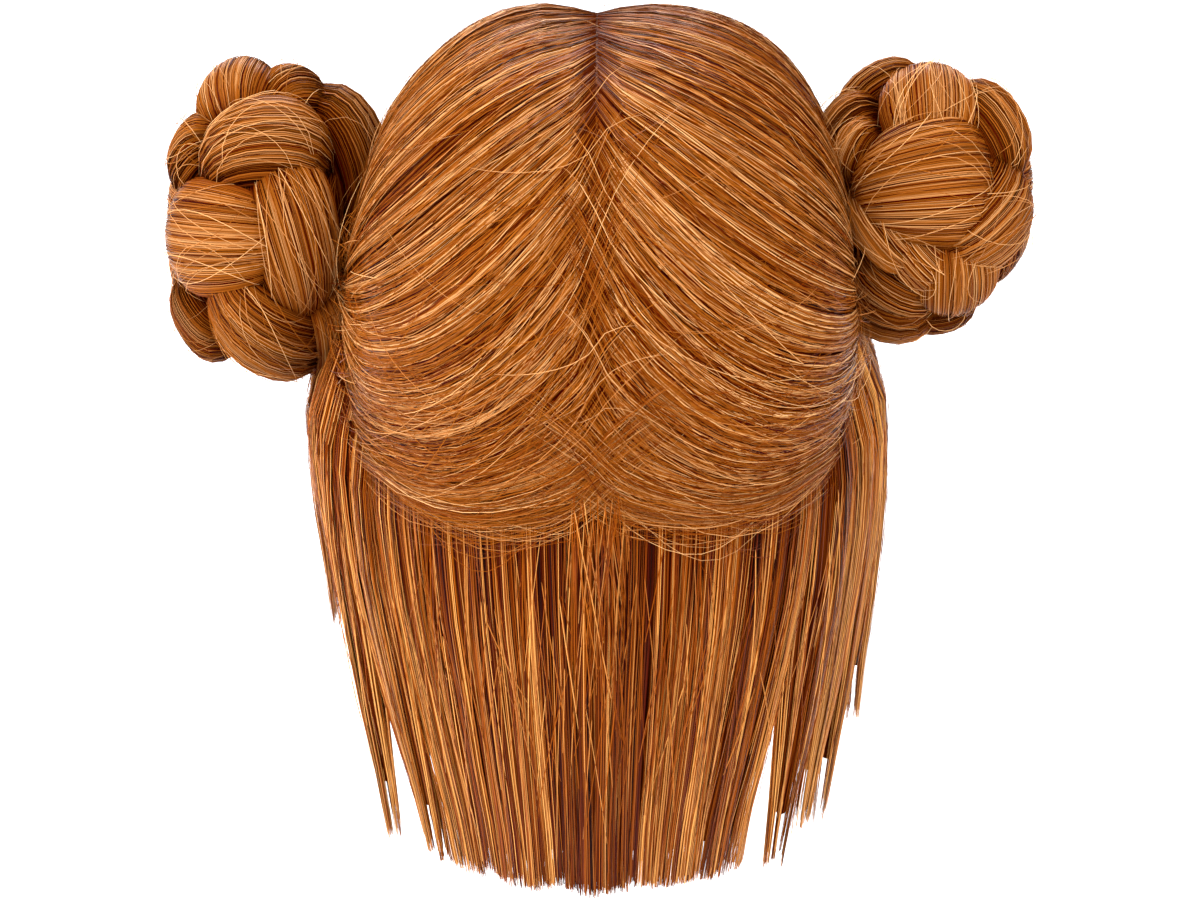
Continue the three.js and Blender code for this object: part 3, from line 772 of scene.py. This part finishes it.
# Heights of the roots at the back and the sides, the height below which the hair hangs free, and
# how far the locks at the sides stand out
LOCK_ROOT_BACK = -8.0
LOCK_ROOT_SIDE = 14.0
LOCK_HANG = -24.0
SIDE_FLARE = 14.5

# A lock that keeps more than this share of its width has a blunt end. For both sorts: how much the
# wisps differ in length, how much they lean, how ragged they are and how much they widen at the tip
BLUNT_SHARE = 0.6
BLUNT_ENDS = (0.007, 0.05, 0.03, 0.6)
POINTED_ENDS = (0.03, 0.14, 0.06, -0.25)

# The tube inside a lock: how far down it ends and how much it narrows for both sorts, its depth as a
# share of the lock's, and the lay it carries across and down, in millimetres
BLUNT_TUBE = (0.9, 0.3)
POINTED_TUBE = (0.86, 0.6)
TUBE_WIDTH = 0.86
TUBE_DEPTH = 0.62
TUBE_LAY = (8, 170)

# Each panel: how many degrees apart its locks are, and the locks
PANELS = {
    "middle": (9, [(-9, -8.5, 161, 79, 0.78), (0, 0, 163, 80, 0.78), (9, 8.5, 161, 79, 0.78)]),
    "back_left": (9, [(18, 17, 163, 80, 0.78), (27, 25.5, 161, 79, 0.78), (36, 33, 165, 78, 0.78)]),
    "back_right": (9, [(-18, -16.5, 162, 80, 0.78), (-27, -25, 163, 79, 0.78), (-36, -32, 166, 78, 0.78)]),
    "side_left": (11.5, [
        (46, 41.5, 165, 80, 0.36), (57.5, 56.5, 169, 82, 0.28),
        (69, 64, 112, 80, 0.5), (80.5, 78, 106, 83, 0.5),
    ]),
    "side_right": (11.5, [
        (-46, -45, 171, 83, 0.36), (-57.5, -57, 164, 82, 0.45),
        (-69, -67, 171, 83, 0.4), (-80.5, -80, 141, 89, 0.5),
    ]),
    "temple_left": (11.5, [
        (92, 91, 112, 89, 0.5), (103.5, 104, 116, 89, 0.5), (115, 115, 120, 88, 0.5),
    ]),
    "temple_right": (11.5, [
        (-92, -92, 128, 90, 0.5), (-103.5, -104, 132, 90, 0.5), (-115, -116, 136, 90, 0.5),
    ]),
}


def lock_points(lock, spacing, v, w, deep_share):
    """Points of a lock: v down its length, w across it and deep_share through it, both from -1 to 1."""
    root, tip, drop, reach_tip, tip_share = lock
    sideways = abs(math.sin(math.radians(root)))
    top = LOCK_ROOT_BACK + (LOCK_ROOT_SIDE - LOCK_ROOT_BACK) * sideways ** 4
    height = top + (-drop - top) * v
    turn = np.radians(root + (tip - root) * smooth(v, 0, 1))
    deep = (LOCK_ROOT_DEPTH + (LOCK_DEPTH - LOCK_ROOT_DEPTH) * smooth(-height, 0, 60)) / 2
    deep = deep * (1 - 0.4 * smooth(v, 0.6, 1))
    flare = SIDE_FLARE * sideways ** 2 * smooth(-height, -20, 25)
    on_cap = dome_reach(turn, np.maximum(height, LOCK_HANG), CAP_WALL + LOCK_GAP + deep) + flare
    loose = np.maximum(0, (LOCK_HANG - height) / (LOCK_HANG + drop))
    reach = on_cap + (reach_tip - on_cap) * loose
    narrow = 1 - (1 - tip_share) * smooth(v, 0.35, 1)
    wide = math.radians(spacing) * on_cap * LOCK_OVERLAP / 2 * narrow
    out = deep * deep_share * np.sqrt(np.clip(1 - w * w, 0, 1))
    return around(turn, reach + out, height) + around(turn + np.pi / 2, wide * w, 0 * height)


def hanging_under(name, rings=20, sides=12):
    """Cores of a panel's locks: tubes that are slimmer than the strands round them, and shorter."""
    spacing, locks = PANELS[name]
    points = []
    lays = []
    faces = []
    for lock in locks:
        end, slim = BLUNT_TUBE if lock[4] > BLUNT_SHARE else POINTED_TUBE
        down = np.linspace(0, end, rings)
        angles = np.linspace(0, 2 * np.pi, sides, endpoint=False)
        v, angle = np.meshgrid(down, angles, indexing="ij")
        w = (TUBE_WIDTH - slim * smooth(v, 0.6, end)) * np.cos(angle)
        deep = TUBE_DEPTH * np.sin(angle) / np.sqrt(np.clip(1 - w * w, 0.05, 1))
        faces.append(grid_faces(rings, sides, first=len(points) * rings * sides, round_rows=True))
        points.append(lock_points(lock, spacing, v, w, deep).reshape(-1, 3))
        lay = np.stack([w * TUBE_LAY[0] + lock[0], v * TUBE_LAY[1], 0 * v], -1)
        lays.append(lay.reshape(-1, 3))
    make_piece(f"hanging_under_{name}", np.concatenate(points), np.concatenate(faces), UNDER,
               lay=np.concatenate(lays), replaces=f"hanging_hair_{name}")


def lock_strands(lock, spacing, v, wisps=11, each=38):
    """Strands of a lock in wisps: bundles that lean, draw together and end at their own lengths."""
    uneven, leaning, ragged, widening = BLUNT_ENDS if lock[4] > BLUNT_SHARE else POINTED_ENDS
    sideways = math.sin(math.radians(abs(lock[0])))
    count = wisps * each

    def shared(values):
        return np.repeat(values, each)[:, None]

    place = shared(np.linspace(-0.92, 0.92, wisps) + rng.normal(0, 0.06, wisps))
    reach = shared(1.018 - np.abs(rng.normal(0, uneven, wisps)))
    lean = shared(rng.normal(0, leaning, wisps))
    wide = shared(rng.uniform(0.14, 0.28, wisps))
    tone = shared(rng.normal(0, 0.09, wisps))
    face = shared(np.where(rng.uniform(0, 1, wisps) < 0.75, 1.0, -1.0))
    layer = face * shared(rng.uniform(0.55, 1.05, wisps))

    aside = np.concatenate([evenly(each) for _ in range(wisps)])
    deep = rng.uniform(0, 1, (count, 1))
    own = rng.normal(0, 1, (count, 1))
    down = v * reach * (1 - ragged * rng.uniform(0, 1, (count, 1)) ** 2)
    drawn = 1 - 0.2 * smooth(v, 0.1, 0.5) + widening * smooth(v, 0.7, 1)
    w = place + lean * v + aside * wide * drawn + 0.02 * own * np.sin(own * 4 + 5 * v)
    out = layer + face * (0.25 * np.sqrt(1 - aside ** 2) - 0.4 * deep)
    path = lock_points(lock, spacing, down, np.clip(w, -1.3, 1.3), out)
    dark = rng.uniform(0, 1, (count, 1)) < SHADED_GAP_SHARE

    # Painted light and shade: brighter at the sides, which face the light, and by its own tone; darker
    # deep in the lock, at the root under the swept hair and on the dark strands that stand for shadowed
    # gaps
    shade = 0.68 + 0.38 * sideways + tone + 0.19 * own - 0.42 * deep - 0.5 * dark
    shade = shade - (0.12 + 0.3 * deep) * (1 - smooth(v, 0.05, 0.4))
    return path, path * np.array([1, 1, 0]) * face[..., None], shade


def lock_strays(lock, spacing, v, count, above):
    """Stray hairs over a lock; those from above start on the swept hair and settle on the lock."""
    w = rng.uniform(-0.9, 0.9, (count, 1)) + rng.normal(0, 0.5, (count, 1)) * v
    down = rng.uniform(-0.07, 0.02, (count, 1)) if above else rng.uniform(0, 0.5, (count, 1))
    down = down + rng.uniform(0.2, 0.5, (count, 1)) * v
    out = rng.uniform(1.05, 1.4, (count, 1)) + (2.4 * (1 - smooth(down, 0, 0.2)) if above else 0)
    path = lock_points(lock, spacing, down, w, out)
    return path, path * np.array([1, 1, 0]), rng.normal(0.72, 0.12, (count, 1)) + 0 * v


def hanging_strands(name, steps=10, strays=30, falling=70):
    """All strands of a panel; the middle lock also has hairs that fall from the end of the part."""
    spacing, locks = PANELS[name]
    v = np.linspace(0, 1, steps)[None, :] ** 1.5
    parts = [lock_strands(lock, spacing, v) for lock in locks]
    parts += [lock_strays(lock, spacing, v, strays, False) for lock in locks]
    parts += [lock_strays(lock, spacing, v, falling, True) for lock in locks if lock[0] == 0]
    path, outward, shade = (np.concatenate(arrays) for arrays in zip(*parts))
    width = rng.uniform(*STRAND_WIDTHS, len(path))
    # The hanging hair's fibre, whose redder ramp is painted shade
    strand_piece(f"hanging_strands_{name}", path, outward, width, shade, SHADED_LOWER_HAIR)


for name in PANELS:
    hanging_under(name)
    hanging_strands(name)

# %% [markdown]
# ## Stage, light and camera
# The wig keeps the form it has on a head, so it hangs over a pale floor. The camera looks from
# behind and above. Large soft lights stand all round: two on the camera's side, one above, one on
# the left and one beyond the wig, and a last one brightens the floor far behind it.

# %% Stage
FLOOR_HEIGHT = -0.55
FLOOR_HALF = 4
WORLD_STRENGTH = 0.34

# The image: its width and centre in pixels, the pixel of the head's middle, and a pixel's real size
IMAGE_WIDTH = 1200
IMAGE_CENTRE = (600, 450)
HEAD_PIXEL = (597, 328)
PIXEL_MM = 0.319
VIEW_DISTANCE = 0.7
SENSOR_WIDTH = 36

# Lights: place, target, size and power
WIG_MIDDLE = (0, 0, -0.1)
LIGHTS = {
    "key": ((0.7, 1.1, 1.2), WIG_MIDDLE, 0.8, 30),
    "fill": ((-1.0, 1.2, 0.7), WIG_MIDDLE, 1.0, 28),
    "top": ((-0.4, 0.3, 1.4), WIG_MIDDLE, 1.0, 14),
    "left": ((1.5, 0.3, 0.3), WIG_MIDDLE, 1.0, 32),
    "backdrop": ((0, -2.2, 1.4), (0, -2.4, FLOOR_HEIGHT), 1.6, 60),
    "front": ((0.2, -1.2, 0.8), WIG_MIDDLE, 1.0, 18),
}


def floor():
    """A wide pale plane below the wig."""
    corners = [(-1, -1), (1, -1), (1, 1), (-1, 1)]
    points = [(x * FLOOR_HALF, y * FLOOR_HALF, FLOOR_HEIGHT) for x, y in corners]
    mesh = bpy.data.meshes.new("floor")
    mesh.from_pydata(points, [], [(0, 1, 2, 3)])
    material, _, shader = new_material("pale_floor", 0.9)
    shader.inputs["Base Color"].default_value = colour("#f4f4f4")
    mesh.materials.append(material)
    plane = bpy.data.objects.new("floor", mesh)
    bpy.context.scene.collection.objects.link(plane)


def light(name, place, target, size, power):
    """A square area light at a place, turned towards a target."""
    lamp = bpy.data.lights.new(name, "AREA")
    lamp.energy = power
    lamp.size = size
    obj = bpy.data.objects.new(name, lamp)
    obj.location = place
    obj.rotation_euler = (Vector(target) - Vector(place)).to_track_quat("-Z", "Y").to_euler()
    bpy.context.scene.collection.objects.link(obj)


def camera():
    """Camera on the chart's toward axis; the lens follows from the distance and the size of a pixel."""
    right, up, toward = (Vector(axis) for axis in CHART)
    pixel = PIXEL_MM * MM
    across = (IMAGE_CENTRE[0] - HEAD_PIXEL[0]) * pixel
    down = (IMAGE_CENTRE[1] - HEAD_PIXEL[1]) * pixel
    target = Vector(HEAD * MM) + right * across - up * down
    data = bpy.data.cameras.new("camera")
    data.sensor_width = SENSOR_WIDTH
    data.lens = SENSOR_WIDTH * VIEW_DISTANCE / (IMAGE_WIDTH * pixel)
    data.clip_end = 20
    obj = bpy.data.objects.new("camera", data)
    turned = Matrix((right, up, toward)).transposed().to_4x4()
    obj.matrix_world = Matrix.Translation(target + toward * VIEW_DISTANCE) @ turned
    bpy.context.scene.collection.objects.link(obj)
    bpy.context.scene.camera = obj


def world():
    """Even white surroundings."""
    surroundings = bpy.data.worlds.new("studio")
    surroundings.use_nodes = True
    background = surroundings.node_tree.nodes["Background"]
    background.inputs["Color"].default_value = (1, 1, 1, 1)
    background.inputs["Strength"].default_value = WORLD_STRENGTH
    bpy.context.scene.world = surroundings
    bpy.context.scene.view_settings.view_transform = "Standard"


floor()
world()
for name, settings in LIGHTS.items():
    light(name, *settings)
camera()
print("lights:", list(LIGHTS))
